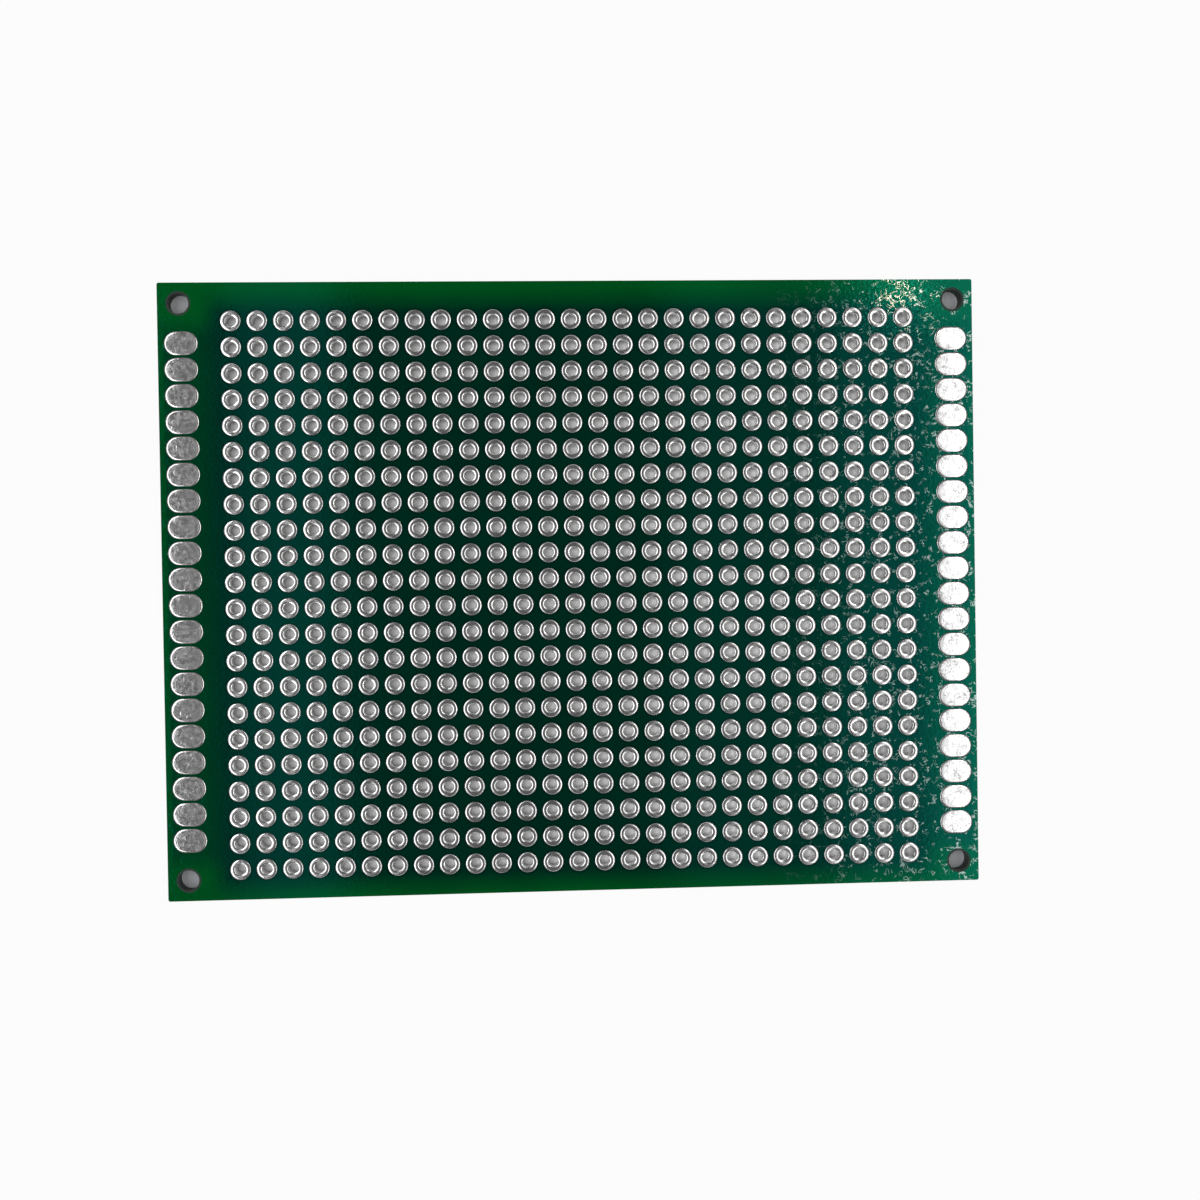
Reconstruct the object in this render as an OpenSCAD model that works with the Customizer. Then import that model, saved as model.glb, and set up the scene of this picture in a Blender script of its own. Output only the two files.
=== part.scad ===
// Double-sided prototype circuit board with plated through-holes.
// X runs along the long side, Y along the short side and Z up. The origin is the middle of the
// plane that the board rests on. Lengths are in millimetres.

/* [Board] */
// Thickness of the glass-epoxy laminate
laminate_thickness = 1.5; // [0.8:0.1:3.2]
// Radius of the board's four corners
corner_radius = 0.2; // [0.1:0.1:2]
// Thickness of the solder mask on each face
mask_thickness = 0.03; // [0.015:0.005:0.06]
// Gap between a land or pad and the edge of its opening in the mask
mask_clearance = 0.05; // [0.02:0.01:0.1]

/* [Hole grid] */
// Number of plated holes in a row, along X
hole_columns = 27; // [6:1:60]
// Number of rows, along Y
hole_rows = 22; // [8:1:40]
// Spacing of the holes, both ways, and of the edge pads
hole_pitch = 2.54; // [2.4:0.01:5.08]
// Distance from the short edges to the centres of the nearest holes
end_margin = 6.98; // [6:0.01:12]
// Distance from the long edges to the centres of the nearest holes, as a mean of both edges
side_margin = 3.33; // [2.6:0.01:10]
// Distance by which the grid lies off the middle of the board, towards the front edge
grid_offset = 0.4; // [0:0.05:1]

/* [Plated holes] */
// Diameter of a finished hole
hole_diameter = 1; // [0.6:0.05:1.3]
// Thickness of the tinned copper on the wall of a hole
plating_thickness = 0.05; // [0.02:0.005:0.08]
// Width of the land round a hole, from the finished hole to the land's outer edge
land_width = 0.475; // [0.3:0.005:0.52]
// Thickness of the copper at the edge of a land or pad
copper_thickness = 0.03; // [0.018:0.001:0.07]
// Height of the tin's crown above the copper's edge
tin_height = 0.04; // [0.01:0.005:0.06]

/* [Edge pads] */
// Length of an edge pad, along X
pad_length = 3.2; // [2.6:0.1:3.8]
// Gap between neighbouring edge pads
pad_gap = 0.29; // [0.2:0.01:0.6]
// Distance from the short edge of the board to the end of an edge pad
pad_inset = 0.6; // [0.2:0.01:1]
// Width of the rounded border of an edge pad
pad_border = 0.2; // [0.1:0.01:0.4]

/* [Mounting holes] */
// Diameter of a mounting hole
mounting_hole_diameter = 2; // [1.6:0.1:3]
// Distance from a mounting hole's centre to each of the two nearest edges
mounting_hole_inset = 2; // [1.8:0.1:3]
// Width of the bare ring between a mounting hole and the mask
mounting_hole_mask_gap = 0.2; // [0.05:0.05:0.3]
// Least distance from a mounting hole's edge to the nearest edge pad
mounting_hole_pad_gap = 1; // [0.5:0.1:3]

/* [Hidden] */
// Facets of the circles, and of the much larger circles that only a short arc is taken from
$fn = 48;
long_arc_facets = 192;

board_length = (hole_columns - 1) * hole_pitch + 2 * end_margin;
board_width = (hole_rows - 1) * hole_pitch + 2 * side_margin;

// Heights of the lands' and pads' crowns above the laminate, and of the laminate's lower face
metal_height = copper_thickness + tin_height;
laminate_bottom = metal_height;
laminate_top = laminate_bottom + laminate_thickness;

hole_radius = hole_diameter / 2;
drill_radius = hole_radius + plating_thickness;
land_radius = hole_radius + land_width;
// The tin rolls over into the hole. The roll stays small enough to keep the drilled edge covered.
lip_radius = metal_height + plating_thickness + sqrt(metal_height * plating_thickness);
crown_radius = hole_radius + lip_radius;

pad_width = hole_pitch - pad_gap;
pad_radius = pad_width / 2;
pad_x = board_length / 2 - pad_inset - pad_length / 2;
pad_corner_margin = mounting_hole_inset + mounting_hole_diameter / 2 + mounting_hole_pad_gap + pad_radius;
pad_count = floor((board_width - 2 * pad_corner_margin) / hole_pitch) + 1;

mounting_hole_x = board_length / 2 - mounting_hole_inset;
mounting_hole_y = board_width / 2 - mounting_hole_inset;

metal_color = [0.78, 0.79, 0.8];
mask_color = [0, 0.3, 0.13];
laminate_color = [0.55, 0.58, 0.3];

// Where the holes' columns and rows and the pads stand. The first row is the one at the back.
column_xs = [for (column = [0 : hole_columns - 1]) (column - (hole_columns - 1) / 2) * hole_pitch];
row_ys = [for (row = [0 : hole_rows - 1]) ((hole_rows - 1) / 2 - row) * hole_pitch - grid_offset];
pad_ys = [for (pad = [0 : pad_count - 1]) (pad - (pad_count - 1) / 2) * hole_pitch];

function row_node(row) = str("plated_holes_row_", row < 9 ? "0" : "", row + 1);

// Radius of the arc that rises by `rise` over a run of `run` and is level at its top
function arc_radius(run, rise) = (run * run + rise * rise) / (2 * rise);

// Outline of the board
module board_outline() {
    square([board_length - 2 * corner_radius, board_width], center = true);
    square([board_length, board_width - 2 * corner_radius], center = true);
    for (x = [-1, 1], y = [-1, 1])
        translate([x * (board_length / 2 - corner_radius), y * (board_width / 2 - corner_radius)])
            circle(corner_radius);
}

// A disc of the given radius at the centre of each plated hole
module at_plated_holes(radius) {
    for (x = column_xs, y = row_ys)
        translate([x, y])
            circle(radius);
}

// A disc of the given radius at the centre of each mounting hole
module at_mounting_holes(radius) {
    for (x = [-1, 1], y = [-1, 1])
        translate([x * mounting_hole_x, y * mounting_hole_y])
            circle(radius);
}

// Outline of an edge pad, grown all round
module pad_outline(growth) {
    square([pad_length - pad_width, pad_width + 2 * growth], center = true);
    for (end = [-1, 1])
        translate([end * (pad_length - pad_width) / 2, 0])
            circle(pad_radius + growth);
}

// The drilled sheet of glass-epoxy laminate
module substrate() {
    color(laminate_color)
        translate([0, 0, laminate_bottom])
            linear_extrude(laminate_thickness)
                difference() {
                    board_outline();
                    at_plated_holes(drill_radius);
                    at_mounting_holes(mounting_hole_diameter / 2);
                }
}

// One coat of solder mask, open round the lands, the pads and the mounting holes
module solder_mask(bottom) {
    color(mask_color)
        translate([0, 0, bottom])
            linear_extrude(mask_thickness)
                difference() {
                    board_outline();
                    at_plated_holes(land_radius + mask_clearance);
                    at_mounting_holes(mounting_hole_diameter / 2 + mounting_hole_mask_gap);
                    for (side = [-1, 1], y = pad_ys)
                        translate([side * pad_x, y])
                            pad_outline(mask_clearance);
                }
}

// Section of a land, from the hole's axis outwards, standing on the laminate at height 0.
// It dips below 0 where the tin rolls over into the hole.
module land_section() {
    dome_run = land_radius - crown_radius;
    dome_radius = arc_radius(dome_run, tin_height);
    translate([crown_radius, 0])
        square([dome_run, copper_thickness]);
    intersection() {
        translate([crown_radius, metal_height - dome_radius])
            circle(dome_radius, $fn = long_arc_facets);
        translate([crown_radius, copper_thickness])
            square([dome_run, tin_height]);
    }
    intersection() {
        translate([crown_radius, metal_height - lip_radius])
            circle(lip_radius);
        union() {
            translate([drill_radius, 0])
                square([crown_radius - drill_radius, metal_height]);
            translate([hole_radius, metal_height - lip_radius])
                square([plating_thickness, lip_radius]);
        }
    }
}

// One plated hole: a land on each face and the barrel between them, centred on the laminate
module plated_hole() {
    half_thickness = laminate_thickness / 2;
    half_barrel = half_thickness + metal_height - lip_radius;
    rotate_extrude() {
        translate([hole_radius, -half_barrel])
            square([plating_thickness, 2 * half_barrel]);
        for (face = [0, 1])
            mirror([0, face])
                translate([0, half_thickness])
                    land_section();
    }
}

// One row of plated holes
module plated_hole_row(row) {
    color(metal_color)
        for (x = column_xs)
            translate([x, row_ys[row], laminate_bottom + laminate_thickness / 2])
                plated_hole();
}

// Section of an edge pad from its middle line outwards, standing on the laminate at height 0
module pad_section() {
    border_radius = arc_radius(pad_border, tin_height);
    square([pad_radius, copper_thickness]);
    square([pad_radius - pad_border, metal_height]);
    intersection() {
        translate([pad_radius - pad_border, metal_height - border_radius])
            circle(border_radius, $fn = long_arc_facets);
        translate([pad_radius - pad_border, copper_thickness])
            square([pad_border, tin_height]);
    }
}

// One edge pad, standing on the laminate at height 0
module edge_pad() {
    rotate([90, 0, 90])
        linear_extrude(pad_length - pad_width, center = true)
            for (half = [0, 1])
                mirror([half, 0])
                    pad_section();
    for (end = [-1, 1])
        translate([end * (pad_length - pad_width) / 2, 0, 0])
            rotate_extrude()
                pad_section();
}

// The edge pads along one short side of one face. side is -1 for the left and 1 for the right.
module edge_pads(side, on_top) {
    color(metal_color)
        for (y = pad_ys)
            translate([side * pad_x, y, on_top ? laminate_top : laminate_bottom])
                mirror([0, 0, on_top ? 0 : 1])
                    edge_pad();
}

module top_solder_mask() {
    solder_mask(laminate_top);
}

module bottom_solder_mask() {
    solder_mask(laminate_bottom - mask_thickness);
}

substrate();
top_solder_mask();
bottom_solder_mask();
for (row = [0 : hole_rows - 1])
    plated_hole_row(row);
edge_pads(-1, true);  // top_left_edge_pads
edge_pads(1, true);  // top_right_edge_pads
edge_pads(-1, false);  // bottom_left_edge_pads
edge_pads(1, false);  // bottom_right_edge_pads
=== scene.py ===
"""Looks of a bare prototype circuit board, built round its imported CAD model.

Blender's unit is the metre. The lengths below are in millimetres and are multiplied by MM where they are used.
"""

import math

import bpy
import numpy as np
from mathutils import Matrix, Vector

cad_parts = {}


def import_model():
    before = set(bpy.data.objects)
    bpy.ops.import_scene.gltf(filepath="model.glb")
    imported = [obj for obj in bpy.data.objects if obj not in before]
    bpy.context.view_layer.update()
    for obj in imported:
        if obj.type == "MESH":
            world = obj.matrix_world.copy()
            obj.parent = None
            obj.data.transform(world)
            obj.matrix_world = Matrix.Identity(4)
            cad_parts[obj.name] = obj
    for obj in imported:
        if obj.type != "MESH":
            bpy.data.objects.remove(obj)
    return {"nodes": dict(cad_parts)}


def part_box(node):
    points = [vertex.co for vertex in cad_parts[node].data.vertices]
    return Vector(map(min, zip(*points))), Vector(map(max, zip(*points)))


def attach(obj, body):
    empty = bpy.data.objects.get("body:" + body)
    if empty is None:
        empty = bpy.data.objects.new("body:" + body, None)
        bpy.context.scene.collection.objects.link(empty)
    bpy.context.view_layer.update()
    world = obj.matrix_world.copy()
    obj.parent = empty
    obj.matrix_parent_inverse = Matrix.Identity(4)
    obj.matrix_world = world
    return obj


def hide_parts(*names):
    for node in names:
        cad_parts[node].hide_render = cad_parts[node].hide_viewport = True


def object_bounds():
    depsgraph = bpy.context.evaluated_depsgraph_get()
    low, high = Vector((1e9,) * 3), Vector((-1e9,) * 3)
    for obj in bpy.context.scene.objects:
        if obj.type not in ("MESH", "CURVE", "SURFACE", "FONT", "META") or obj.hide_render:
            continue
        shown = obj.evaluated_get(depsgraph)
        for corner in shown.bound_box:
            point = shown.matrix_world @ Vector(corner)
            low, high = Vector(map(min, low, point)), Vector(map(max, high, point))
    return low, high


MM = 0.001

# Section of a plated hole
HOLE_RADIUS = 0.5
LAND_RADIUS = 0.975
CROWN_RADIUS = 0.745
CROWN_BEND = 0.95
SHOULDER_BEND = 0.31
LAND_EDGE_WIDTH = 0.013
COPPER_HEIGHT = 0.03
METAL_HEIGHT = 0.07
LAMINATE_THICKNESS = 1.5
SEGMENTS = 28

# Section of an edge pad
PAD_BORDER = 0.16

# Spacing of the holes, the same both ways
PITCH = 2.54

# Solder mask: how far from a hole's centre its painted shade is darkest and where it has its own tone again,
# the distances from the board's middle line between which its corners turn paler with painted glow, the X
# between which the glossy flecks set in, and the glint cluster's centre and inner and outer radius
LAND_SHADE_RADII = (1.03, 1.32)
CORNER_REACH = (24.6, 27.6)
FLECKS_SET_IN = (18.0, 30.0)
GLINT_CLUSTER_CENTRE = (32.2, 28.7)
GLINT_CLUSTER_RADII = (0.7, 2.6)

# Floor: its height, and how far from the middle the sheet under the board carries the hole grid's painted light
FLOOR_HEIGHT = -0.02
LIT_FLOOR_HALF_X = 34.5

# Lamps that hang level over the board: centre, size, radiance and colour
WHITE, WARM, AMBER = (1, 1, 1), (1, 0.93, 0.78), (1, 0.9, 0.65)
LAMPS = {
    "right_softbox": ((208, 0, 400), (116, 560), 1.3, WHITE),
    "right_inner": ((131, 0, 400), (38, 560), 0.5, WHITE),
    "right_outer": ((356, 0, 400), (180, 560), 0.4, WHITE),
    "right_fill": ((82, 0, 401), (60, 560), 0.13, WHITE),
    "right_strip": ((204, 0, 399), (6, 560), 8, WARM),
    "left_softbox": ((-237, 0, 400), (186, 560), 1.9, WHITE),
    "left_fill": ((-87, 0, 401), (38, 560), 0.3, WHITE),
    "hot_spot": ((137, 103, 399), (12, 12), 6, AMBER),
}


# ---------------------------------------------------------------- node graphs


def add(tree, kind, inputs=None, **settings):
    """A new node. inputs maps a socket's name or number to a value or to another node's output."""
    node = tree.nodes.new(kind)
    for key, value in settings.items():
        setattr(node, key, value)
    for key, value in (inputs or {}).items():
        if isinstance(value, bpy.types.NodeSocket):
            tree.links.new(value, node.inputs[key])
        else:
            node.inputs[key].default_value = value
    return node


def calc(tree, operation, a, b=0.0, c=0.0):
    return add(tree, "ShaderNodeMath", {0: a, 1: b, 2: c}, operation=operation).outputs[0]


def ramp(tree, value, start, end, low=0.0, high=1.0, smooth=True):
    """low where value is at start, high where it is at end, and clamped beyond."""
    node = add(
        tree,
        "ShaderNodeMapRange",
        {"Value": value, "From Min": start, "From Max": end, "To Min": low, "To Max": high},
        interpolation_type="SMOOTHSTEP" if smooth else "LINEAR",
    )
    return node.outputs[0]


def noise(tree, position, size_mm, detail=2.0, roughness=0.5, distortion=0.0, stretch=None):
    """Noise from 0 to 1, with features about size_mm across."""
    if stretch:
        position = add(
            tree, "ShaderNodeMapping", {"Vector": position, "Scale": stretch}
        ).outputs[0]
    node = add(
        tree,
        "ShaderNodeTexNoise",
        {
            "Vector": position,
            "Scale": 1 / (size_mm * MM),
            "Detail": detail,
            "Roughness": roughness,
            "Distortion": distortion,
        },
    )
    return node.outputs[0]


def mix(tree, factor, a, b):
    """Colour a where factor is 0 and colour b where it is 1."""
    return add(tree, "ShaderNodeMix", {0: factor, 6: a, 7: b}, data_type="RGBA").outputs[2]


def bump(tree, height, depth_mm, normal=None):
    inputs = {"Height": height, "Strength": 1.0, "Distance": depth_mm * MM}
    if normal:
        inputs["Normal"] = normal
    return add(tree, "ShaderNodeBump", inputs).outputs[0]


def length(tree, a, b):
    """Length of the vector with components a and b."""
    return calc(tree, "SQRT", calc(tree, "ADD", calc(tree, "MULTIPLY", a, a), calc(tree, "MULTIPLY", b, b)))


def from_nearest_hole(tree, coordinate, shift):
    """How far a coordinate in millimetres is from the nearest hole's centre.

    shift is 0.5 along X, where a hole stands at 0, and 0 along Y, where two holes stand either side of it.
    """
    pitches = calc(tree, "MULTIPLY_ADD", coordinate, 1 / PITCH, 40 + shift)
    return calc(tree, "MULTIPLY", calc(tree, "SUBTRACT", calc(tree, "FRACT", pitches), 0.5), PITCH)


def new_material(name):
    """An empty node material, its tree, its Principled shader and the position on the object."""
    material = bpy.data.materials.new(name)
    material.use_nodes = True
    tree = material.node_tree
    tree.nodes.clear()
    shader = add(tree, "ShaderNodeBsdfPrincipled")
    add(tree, "ShaderNodeOutputMaterial", {"Surface": shader.outputs[0]})
    position = add(tree, "ShaderNodeTexCoord").outputs["Object"]
    return material, tree, shader, position


def connect(tree, output, socket):
    tree.links.new(output, socket)


# ---------------------------------------------------------------- materials


def solder_mask_material():
    material, tree, shader, position = new_material("solder_mask")
    axes = add(tree, "ShaderNodeSeparateXYZ", {0: position}).outputs
    x = calc(tree, "MULTIPLY", axes[0], 1 / MM)
    y = calc(tree, "MULTIPLY_ADD", axes[1], 1 / MM, GRID_OFFSET)
    across = calc(tree, "ABSOLUTE", x)
    along = calc(tree, "ABSOLUTE", y)

    # Painted light: the mask is painted paler where light would glow through the laminate with no copper behind
    # it: beyond the grid, and most at the corners.
    beyond_rows = ramp(tree, along, GRID_HALF_Y - 0.2, GRID_HALF_Y + 2.1, smooth=False)
    beyond_columns = ramp(tree, across, GRID_HALF_X + 0.1, GRID_HALF_X + 2.2, smooth=False)
    corner = ramp(tree, along, *CORNER_REACH, 0.3, 1.0)
    rim = ramp(tree, across, cad_high[0] / MM - 0.8, cad_high[0] / MM - 0.4, 0.0, 0.7)
    corner = calc(tree, "MAXIMUM", corner, rim)
    beyond_columns = calc(tree, "MULTIPLY", beyond_columns, corner)
    painted_glow = calc(
        tree,
        "SUBTRACT",
        1.0,
        calc(
            tree,
            "MULTIPLY",
            calc(tree, "SUBTRACT", 1.0, beyond_rows),
            calc(tree, "SUBTRACT", 1.0, beyond_columns),
        ),
    )
    colour = mix(tree, painted_glow, (0.0, 0.027, 0.012, 1), (0.0, 0.115, 0.01, 1))

    # Painted shade: the mask is painted darkest right round a land, where it runs up to the copper.
    cell_x, cell_y = from_nearest_hole(tree, x, 0.5), from_nearest_hole(tree, y, 0)
    land_shade = ramp(tree, length(tree, cell_x, cell_y), *LAND_SHADE_RADII, 1.0, 0.0)
    in_grid = calc(
        tree,
        "MULTIPLY",
        calc(tree, "LESS_THAN", across, GRID_HALF_X + 0.4),
        calc(tree, "LESS_THAN", along, GRID_HALF_Y + 0.4),
    )
    land_shade = calc(tree, "MULTIPLY", land_shade, in_grid)
    land_shade = calc(tree, "MULTIPLY", land_shade, 0.55)
    colour = mix(tree, land_shade, colour, (0.0, 0.006, 0.003, 1))

    # Slow drifts of the ink's tone, and a fine grain
    tone = ramp(tree, noise(tree, position, 9.0, 2.0), 0.3, 0.7, 0.9, 1.1)
    grain = ramp(tree, noise(tree, position, 0.16, 2.0), 0.3, 0.7, 0.93, 1.07)
    tone = calc(tree, "MULTIPLY", tone, grain)
    colour = add(tree, "ShaderNodeVectorMath", {0: colour, 1: tone}, operation="MULTIPLY").outputs[0]

    # Orange peel, under short thin ridges of clear gloss that grow more frequent towards the right
    peel = noise(tree, position, 0.33, 2.0, 0.55, 0.6)
    connect(tree, bump(tree, peel, 0.007), shader.inputs["Normal"])
    ridges = calc(tree, "ABSOLUTE", calc(tree, "SUBTRACT", noise(tree, position, 0.6, 1.0, 0.5, 1.0), 0.5))
    ridges = ramp(tree, ridges, 0.02, 0.045, 1.0, 0.0)
    # A cluster of glints near the right back corner: the gloss is denser there, and its flecks carry a painted
    # cream highlight.
    off_x, off_y = (calc(tree, "SUBTRACT", a, b) for a, b in zip((x, y), GLINT_CLUSTER_CENTRE))
    glint_cluster = ramp(tree, length(tree, off_x, off_y), *GLINT_CLUSTER_RADII, 1.0, 0.0)
    denser = calc(tree, "MULTIPLY", glint_cluster, 0.2)
    breaks = ramp(tree, calc(tree, "ADD", noise(tree, position, 0.7, 1.0, 0.5), denser), 0.53, 0.59)
    patches = ramp(tree, calc(tree, "ADD", noise(tree, position, 1.8, 2.0, 0.6), denser), 0.38, 0.48)
    rightwards = ramp(tree, x, *FLECKS_SET_IN)
    gloss = calc(tree, "MULTIPLY", ridges, breaks)
    gloss = calc(tree, "MULTIPLY", gloss, calc(tree, "MULTIPLY", patches, rightwards))
    connect(tree, gloss, shader.inputs["Coat Weight"])
    # Painted highlight: the flecks' base colour is painted teal, and cream in the glint cluster, as a painted
    # reflection of the lamps.
    painted_glint = mix(tree, glint_cluster, (0.02, 0.3, 0.22, 1), (0.7, 0.5, 0.2, 1))
    painted_glint_share = calc(tree, "MULTIPLY", gloss, ramp(tree, glint_cluster, 0.0, 1.0, 0.5, 0.9))
    colour = mix(tree, painted_glint_share, colour, painted_glint)
    connect(tree, colour, shader.inputs["Base Color"])
    connect(tree, bump(tree, noise(tree, position, 0.3, 1.0, 0.5, 0.8), 0.006), shader.inputs["Coat Normal"])
    shader.inputs["Coat Roughness"].default_value = 0.05
    shader.inputs["Coat IOR"].default_value = 3.0
    shader.inputs["Specular Tint"].default_value = (0.03, 1.0, 0.9, 1)
    shader.inputs["Roughness"].default_value = 0.06
    shader.inputs["IOR"].default_value = 1.54
    return material


def laminate_material():
    material, tree, shader, position = new_material("laminate")
    facing = add(tree, "ShaderNodeSeparateXYZ", {0: add(tree, "ShaderNodeNewGeometry").outputs["True Normal"]})
    on_face = ramp(tree, calc(tree, "ABSOLUTE", facing.outputs[2]), 0.6, 0.9)
    layers = noise(tree, position, 0.5, 4.0, 0.6, 0.3, stretch=(0.25, 0.25, 3.0))
    cut = mix(tree, ramp(tree, layers, 0.35, 0.65), (0.30, 0.31, 0.13, 1), (0.50, 0.50, 0.27, 1))
    # Painted shade: inside the board's outline, on the walls of the holes, the cut laminate is painted dark;
    # only the outer edges show its layers.
    axes = add(tree, "ShaderNodeSeparateXYZ", {0: position}).outputs
    outside = calc(
        tree,
        "MAXIMUM",
        calc(tree, "GREATER_THAN", calc(tree, "ABSOLUTE", axes[0]), cad_high[0] - 0.3 * MM),
        calc(tree, "GREATER_THAN", calc(tree, "ABSOLUTE", axes[1]), cad_high[1] - 0.3 * MM),
    )
    cut = mix(tree, outside, (0.004, 0.016, 0.009, 1), cut)
    # Its bare faces, seen in the narrow rings round the lands and mounting holes, are dark green: partly the
    # laminate's own colour, partly painted shade of those narrow grooves.
    bare = mix(tree, noise(tree, position, 0.3), (0.002, 0.02, 0.011, 1), (0.006, 0.035, 0.02, 1))
    connect(tree, mix(tree, on_face, cut, bare), shader.inputs["Base Color"])
    connect(tree, bump(tree, layers, 0.02), shader.inputs["Normal"])
    shader.inputs["Roughness"].default_value = 0.5
    return material


def tin_material():
    """Hot-dipped tin: bright and slightly mottled, with shallow ripples and patches of fine pits."""
    material, tree, shader, position = new_material("tinned_copper")
    mottle = ramp(tree, noise(tree, position, 0.4, 4.0, 0.7), 0.3, 0.7)
    colour = mix(tree, mottle, (0.62, 0.615, 0.62, 1), (0.88, 0.875, 0.87, 1))
    # Dark specks: the tin's own dull patches, painted denser towards the right as painted shade that breaks up
    # the bright reflection there.
    specks = calc(tree, "ABSOLUTE", calc(tree, "SUBTRACT", noise(tree, position, 0.45, 3.0, 0.7, 0.6), 0.5))
    specks = ramp(tree, specks, 0.01, 0.04, 1.0, 0.0)
    dull_and_painted_shade = ramp(tree, noise(tree, position, 1.2, 2.0, 0.6), 0.48, 0.58, 0.0, 0.8)
    along = add(tree, "ShaderNodeSeparateXYZ", {0: position}).outputs[0]
    dull_and_painted_shade = calc(tree, "MULTIPLY", dull_and_painted_shade, ramp(tree, along, -30 * MM, 30 * MM, 0.3, 1.0))
    colour = mix(tree, calc(tree, "MULTIPLY", specks, dull_and_painted_shade), colour, (0.2, 0.2, 0.21, 1))
    connect(tree, colour, shader.inputs["Base Color"])
    connect(tree, ramp(tree, mottle, 0.0, 1.0, 0.15, 0.07), shader.inputs["Roughness"])
    ripples = noise(tree, position, 0.5, 3.0, 0.6)
    patches = ramp(tree, noise(tree, position, 0.9, 2.0, 0.6), 0.5, 0.62, 0.12, 1.0)
    pits = calc(tree, "MULTIPLY", noise(tree, position, 0.2, 2.0, 0.6, 0.5), patches)
    normal = bump(tree, ripples, 0.004)
    normal = bump(tree, pits, 0.003, normal)
    connect(tree, normal, shader.inputs["Normal"])
    shader.inputs["Metallic"].default_value = 1.0
    return material


def backdrop_material(name, under_board=False):
    """Plain white. Where the camera, metal or glass looks at it, most of it shows as exactly white. Under the
    board it carries painted light and shade below the holes.
    """
    material = bpy.data.materials.new(name)
    material.use_nodes = True
    tree = material.node_tree
    tree.nodes.clear()
    diffuse = add(tree, "ShaderNodeBsdfDiffuse", {"Color": (0.86, 0.86, 0.86, 1)})
    white = add(tree, "ShaderNodeEmission", {"Color": (1, 1, 1, 1), "Strength": 1.0})
    rays = add(tree, "ShaderNodeLightPath").outputs
    seen = calc(tree, "MAXIMUM", rays["Is Camera Ray"], rays["Is Glossy Ray"])
    seen = calc(tree, "MAXIMUM", seen, rays["Is Transmission Ray"])
    share = calc(tree, "MULTIPLY", seen, 0.95)
    if under_board:
        # Painted light and shade in the board's shade: a painted pool of light on the floor below each hole, off
        # to the right of its centre, fading towards the hole's edges
        axes = add(tree, "ShaderNodeSeparateXYZ", {0: add(tree, "ShaderNodeTexCoord").outputs["Object"]}).outputs
        x = calc(tree, "MULTIPLY", axes[0], 1 / MM)
        y = calc(tree, "MULTIPLY_ADD", axes[1], 1 / MM, GRID_OFFSET + 0.04)
        start, end = ramp(tree, x, 0, 33, -0.45, -0.3), ramp(tree, x, 0, 33, 0.15, 0.5)
        lit_x = ramp(tree, from_nearest_hole(tree, x, 0.5), start, end, 0.1, 1.0, smooth=False)
        lit_y = ramp(tree, calc(tree, "ABSOLUTE", from_nearest_hole(tree, y, 0)), 0.1, 0.5, 1.0, 0.35)
        paler = calc(tree, "MINIMUM", ramp(tree, x, -5, 20, 0.3, 0.45), ramp(tree, x, 20, 33, 0.45, 0.3))
        paler = calc(tree, "MULTIPLY", paler, calc(tree, "MULTIPLY", lit_x, lit_y))
        under_hole = calc(tree, "LESS_THAN", calc(tree, "ABSOLUTE", x), LIT_FLOOR_HALF_X)
        share = calc(tree, "MULTIPLY", seen, calc(tree, "MULTIPLY", paler, under_hole))
        # Painted shade: a bluish grey beyond the hole grid, under the mounting holes
        shade = mix(tree, under_hole, (0.84, 0.86, 0.9, 1), (0.86, 0.86, 0.86, 1))
        connect(tree, shade, diffuse.inputs["Color"])
    shader = add(tree, "ShaderNodeMixShader", {0: share, 1: diffuse.outputs[0], 2: white.outputs[0]})
    add(tree, "ShaderNodeOutputMaterial", {"Surface": shader.outputs[0]})
    return material


# ---------------------------------------------------------------- meshes


def new_piece(name, vertices, faces, material):
    mesh = bpy.data.meshes.new(name)
    mesh.from_pydata(vertices.tolist(), [], faces.tolist())
    mesh.polygons.foreach_set("use_smooth", [True] * len(mesh.polygons))
    mesh.materials.append(material)
    mesh.update()
    piece = bpy.data.objects.new(name, mesh)
    bpy.context.scene.collection.objects.link(piece)
    return piece


def band_faces(rings, segments):
    """Faces of a closed tube of rings, the last ring joined to the first."""
    k, j = np.meshgrid(np.arange(rings), np.arange(segments), indexing="ij")
    k2, j2 = (k + 1) % rings, (j + 1) % segments
    quads = np.stack([k * segments + j, k * segments + j2, k2 * segments + j2, k2 * segments + j], -1)
    return quads.reshape(-1, 4)


def turned(start, arc, tilts, way):
    """Points of a curve with bend radius `arc` that falls away from `start`, where it tilts by tilts[0]."""
    return [
        (
            start[0] + way * arc * (math.sin(tilt) - math.sin(tilts[0])),
            start[1] - arc * (math.cos(tilts[0]) - math.cos(tilt)),
        )
        for tilt in tilts[1:]
    ]


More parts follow.
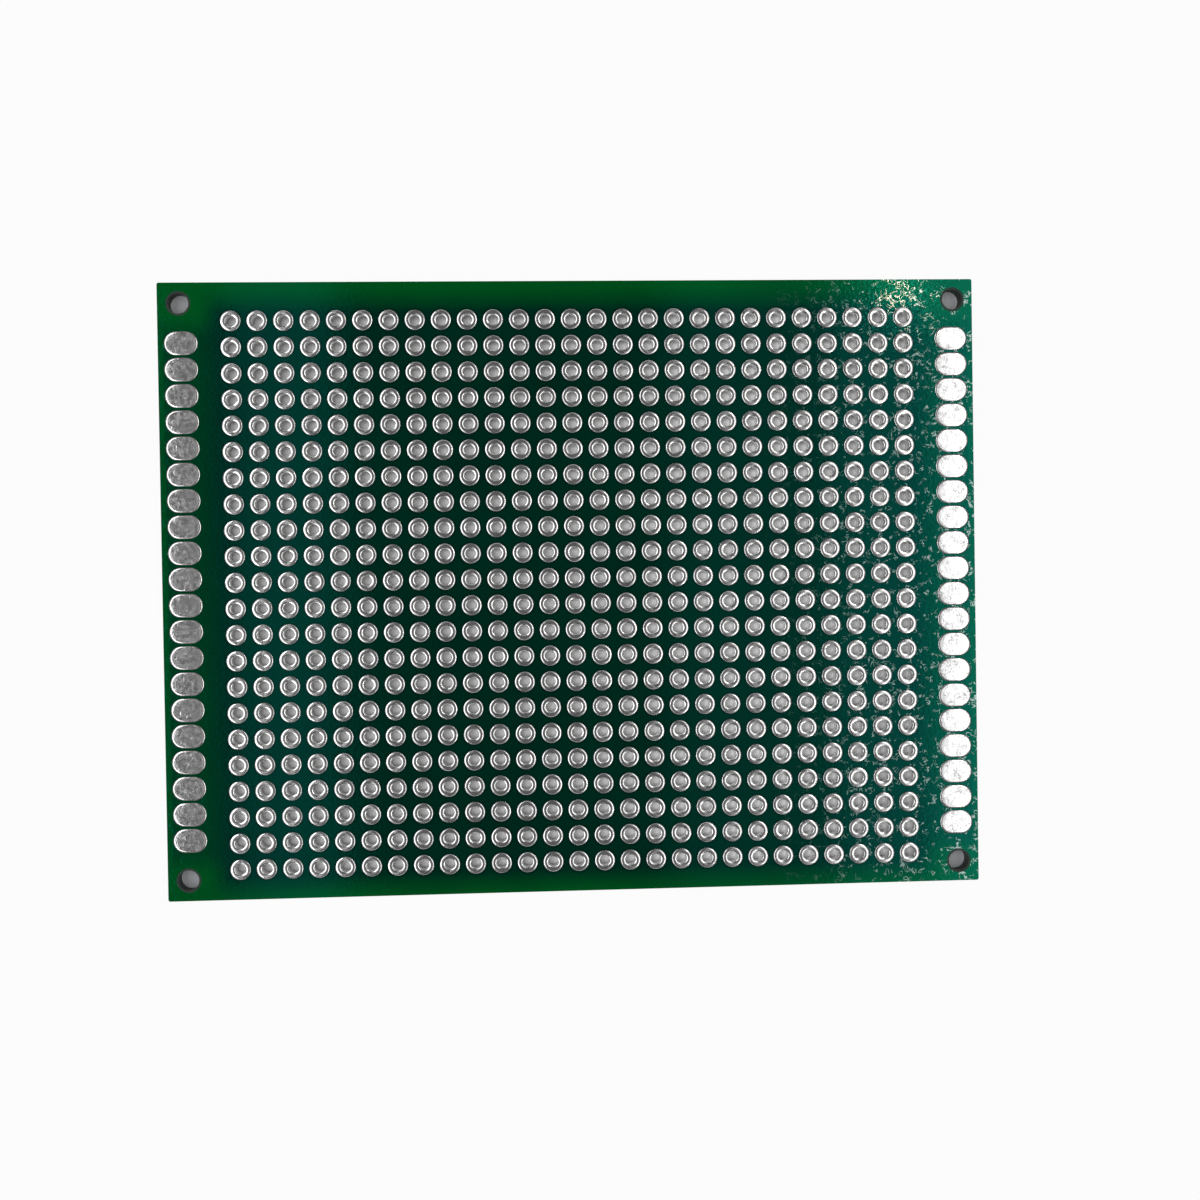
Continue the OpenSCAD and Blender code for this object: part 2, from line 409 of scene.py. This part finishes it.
def land_section(steps):
    """(radius, height over the laminate, share of the tin's unevenness) from the land's foot to the barrel.

    The tin has a broad crown, a rounder shoulder on each side of it, and a tight lip at the hole.
    """
    crown = (CROWN_RADIUS, METAL_HEIGHT)
    flat, inner_end = math.radians(7), math.radians(25)
    outer = turned(crown, CROWN_BEND, np.linspace(0, flat, steps), 1)
    edge = math.asin(math.sin(flat) + (LAND_RADIUS - LAND_EDGE_WIDTH - outer[-1][0]) / SHOULDER_BEND)
    outer += turned(outer[-1], SHOULDER_BEND, np.linspace(flat, edge, steps + 1), 1)
    inner = turned(crown, CROWN_BEND, np.linspace(0, flat, steps), -1)
    inner += turned(inner[-1], SHOULDER_BEND, np.linspace(flat, inner_end, steps), -1)
    lip = (inner[-1][0] - HOLE_RADIUS) / (1 - math.sin(inner_end))
    inner += turned(inner[-1], lip, np.linspace(inner_end, math.pi / 2, steps + 1), -1)
    foot = [(LAND_RADIUS, 0.0), (LAND_RADIUS, 0.5 * COPPER_HEIGHT)]
    points = foot + outer[::-1] + [crown] + inner
    return np.array([(r, z, 0.0 if r > 0.96 else (1.0 if z > 0.03 else 0.0)) for r, z in points])


def plated_hole(centre, draw):
    """Vertices of one plated hole with its two lands, the tin's unevenness drawn from `draw`."""
    angles = np.linspace(0, 2 * math.pi, SEGMENTS, endpoint=False)
    rings = []
    for side, section in ((1, TOP_SECTION), (-1, BOTTOM_SECTION)):
        lean, lobes, ripple = draw.uniform(0, 2 * math.pi, 3)
        swell = (
            0.013 * draw.uniform(0.2, 1.0) * np.cos(angles - lean)
            + 0.008 * draw.uniform(0.0, 1.0) * np.cos(2 * angles - lobes)
            + 0.004 * draw.uniform(0.0, 1.0) * np.cos(5 * angles - ripple)
            - 0.006 * draw.uniform(0.0, 1.0)
        )
        lip = 0.02 * draw.uniform(0.2, 1.0) * np.cos(angles - ripple) + 0.012 * np.cos(3 * angles - lean)
        block = []
        for radius, height, share in section:
            inner = share if radius < CROWN_RADIUS else 0.0
            r = radius + lip * inner * 0.6
            z = height + swell * share * (1.0 if side == 1 else 0.4)
            block.append(
                np.stack(
                    [
                        centre[0] + r * np.cos(angles),
                        centre[1] + r * np.sin(angles),
                        MID_HEIGHT + side * (LAMINATE_THICKNESS / 2 + z),
                    ],
                    -1,
                )
            )
        rings.append(block if side == 1 else block[::-1])
    return np.concatenate([np.concatenate(block) for block in rings])


def plated_hole_row(node, draw, material):
    low, high = (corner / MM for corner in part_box(node))
    count = round((high.x - low.x - 2 * LAND_RADIUS) / PITCH) + 1
    y = (low.y + high.y) / 2
    faces = band_faces(len(TOP_SECTION) + len(BOTTOM_SECTION), SEGMENTS)
    vertices, all_faces = [], []
    for column in range(count):
        points = plated_hole((low.x + LAND_RADIUS + column * PITCH, y), draw)
        all_faces.append(faces + sum(map(len, vertices)))
        vertices.append(points)
    piece = new_piece("tinned_" + node, np.concatenate(vertices) * MM, np.concatenate(all_faces), material)
    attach(piece, "root")
    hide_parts(node)


def edge_pads(node, on_top, draw, material):
    """The obround pads along one short side of one face, each with a rounded border and an uneven crown."""
    low, high = (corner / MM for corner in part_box(node))
    count = math.ceil((high.y - low.y) / PITCH)
    width = high.y - low.y - (count - 1) * PITCH
    half_straight = (high.x - low.x - width) / 2
    middle_x = (low.x + high.x) / 2
    side = 1 if on_top else -1
    foot = low.z if on_top else high.z

    arc = (PAD_BORDER**2 + TIN_HEIGHT**2) / (2 * TIN_HEIGHT)
    insets = [(0.0, 0.0), (0.0, 0.6 * COPPER_HEIGHT)]
    for share in (0.03, 0.12, 0.3, 0.55, 0.8, 1.0):
        offset = PAD_BORDER * (1 - share)
        insets.append((PAD_BORDER * share, METAL_HEIGHT - arc + math.sqrt(arc * arc - offset * offset)))
    insets += [(0.45, METAL_HEIGHT), (0.75, METAL_HEIGHT)]

    turn = np.linspace(-math.pi / 2, math.pi / 2, 13)
    angles = np.concatenate([turn, turn + math.pi])
    shift = np.concatenate([np.full(13, half_straight), np.full(13, -half_straight)])
    segments = len(angles)
    vertices, faces = [], []
    for pad in range(count):
        start = len(vertices)
        y = low.y + width / 2 + pad * PITCH
        lean, lobes = draw.uniform(0, 2 * math.pi, 2)
        for inset, height in insets:
            radius = width / 2 - inset
            rounding = min(1.0, inset / PAD_BORDER)
            for angle, dx in zip(angles, shift):
                px = dx + radius * math.cos(angle)
                py = radius * math.sin(angle)
                swell = 0.003 * math.cos(2.1 * px + lean) * math.cos(2.6 * py + lobes) - 0.003
                z = height + rounding * swell
                vertices.append((middle_x + px, y + py, foot + side * z))
        rings = len(insets)
        for k in range(rings - 1):
            for j in range(segments):
                j2 = (j + 1) % segments
                a, b = start + k * segments + j, start + k * segments + j2
                c, d = b + segments, a + segments
                faces.append((a, b, c, d) if on_top else (d, c, b, a))
        cap = [start + (rings - 1) * segments + j for j in range(segments)]
        half = segments // 2
        for j in range(half - 1):
            quad = (cap[j], cap[j + 1], cap[segments - 2 - j], cap[segments - 1 - j])
            faces.append(quad if on_top else quad[::-1])
    piece = new_piece("tinned_" + node, np.array(vertices) * MM, np.array(faces), material)
    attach(piece, "root")
    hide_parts(node)


# ---------------------------------------------------------------- stage


def softbox(name, centre, size, radiance, colour):
    """An area lamp that shines straight down and isn't seen itself. centre and size are in millimetres."""
    lamp = bpy.data.lights.new(name, "AREA")
    lamp.shape = "RECTANGLE"
    lamp.size, lamp.size_y = size[0] * MM, size[1] * MM
    lamp.color = colour
    lamp.energy = radiance * 4 * lamp.size * lamp.size_y
    light = bpy.data.objects.new(name, lamp)
    bpy.context.scene.collection.objects.link(light)
    light.location = Vector(centre) * MM
    light.rotation_euler = Vector((0, 0, -1)).to_track_quat("-Z", "Y").to_euler()
    light.visible_camera = False


def sweep(material):
    """A round floor that curves up into a wall all round, high enough for views from near the horizon."""
    profile = [(0.0, 0.0), (300.0, 0.0), (800.0, 0.0)]
    for angle in np.linspace(0, math.pi / 2, 10)[1:]:
        profile.append((800 + 300 * math.sin(angle), 300 * (1 - math.cos(angle))))
    profile.append((1100.0, 650.0))
    segments = 64
    vertices, faces = [(0.0, 0.0, FLOOR_HEIGHT)], []
    for radius, height in profile[1:]:
        for j in range(segments):
            angle = 2 * math.pi * j / segments
            vertices.append((radius * math.cos(angle), radius * math.sin(angle), FLOOR_HEIGHT + height))
    for j in range(segments):
        faces.append((0, 1 + j, 1 + (j + 1) % segments))
    for k in range(len(profile) - 2):
        for j in range(segments):
            a = 1 + k * segments + j
            b = 1 + k * segments + (j + 1) % segments
            faces.append((a, a + segments, b + segments, b))
    mesh = bpy.data.meshes.new("backdrop")
    mesh.from_pydata([tuple(c * MM for c in v) for v in vertices], [], faces)
    mesh.polygons.foreach_set("use_smooth", [True] * len(mesh.polygons))
    mesh.materials.append(material)
    backdrop = bpy.data.objects.new("backdrop", mesh)
    bpy.context.scene.collection.objects.link(backdrop)


def floor_under_board(low, high, material):
    """A plain sheet under the board, carrying painted light and shade, so that its holes look down on a shaded
    floor.
    """
    corners = [(low.x, low.y), (high.x, low.y), (high.x, high.y), (low.x, high.y)]
    mesh = bpy.data.meshes.new("floor_under_board")
    mesh.from_pydata([(x, y, FLOOR_HEIGHT / 2 * MM) for x, y in corners], [], [(0, 1, 2, 3)])
    mesh.materials.append(material)
    sheet = bpy.data.objects.new("floor_under_board", mesh)
    bpy.context.scene.collection.objects.link(sheet)


def world():
    scene_world = bpy.data.worlds.new("studio")
    bpy.context.scene.world = scene_world
    scene_world.use_nodes = True
    background = scene_world.node_tree.nodes["Background"]
    background.inputs["Color"].default_value = (0.12, 0.12, 0.12, 1)
    background.inputs["Strength"].default_value = 1.0


def camera():
    data = bpy.data.cameras.new("camera")
    data.sensor_width = 36
    data.lens = 45.585
    data.clip_start = 0.01
    view = bpy.data.objects.new("camera", data)
    bpy.context.scene.collection.objects.link(view)
    view.location = Vector((-6.11, 0.69, 151.0)) * MM
    view.rotation_euler = [math.radians(a) for a in (-0.736, -3.29, -0.896)]
    bpy.context.scene.camera = view


# ---------------------------------------------------------------- the scene

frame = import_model()
cad_low, cad_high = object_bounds()

TIN_HEIGHT = METAL_HEIGHT - COPPER_HEIGHT
MID_HEIGHT = (cad_low[2] + cad_high[2]) / 2 / MM
TOP_SECTION = land_section(3)
BOTTOM_SECTION = land_section(2)

ROWS = sorted(n for n in frame["nodes"] if n.startswith("plated_holes_row_"))
first_high, last_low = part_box(ROWS[0])[1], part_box(ROWS[-1])[0]
GRID_HALF_X = first_high.x / MM
GRID_HALF_Y = (first_high.y - last_low.y) / 2 / MM
GRID_OFFSET = -(first_high.y + last_low.y) / 2 / MM

mask = solder_mask_material()
tin = tin_material()
for name, material in (
    ("substrate", laminate_material()),
    ("top_solder_mask", mask),
    ("bottom_solder_mask", mask),
):
    for slot in frame["nodes"][name].material_slots:
        slot.material = material

for number, row in enumerate(ROWS):
    plated_hole_row(row, np.random.default_rng(100 + number), tin)
for number, pads in enumerate(sorted(n for n in frame["nodes"] if n.endswith("_edge_pads"))):
    edge_pads(pads, pads.startswith("top"), np.random.default_rng(200 + number), tin)

sweep(backdrop_material("backdrop"))
floor_under_board(*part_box("substrate"), backdrop_material("shaded_floor", under_board=True))
world()
for name, (centre, size, radiance, colour) in LAMPS.items():
    softbox(name, centre, size, radiance, colour)
camera()
bpy.context.scene.view_settings.view_transform = "Standard"
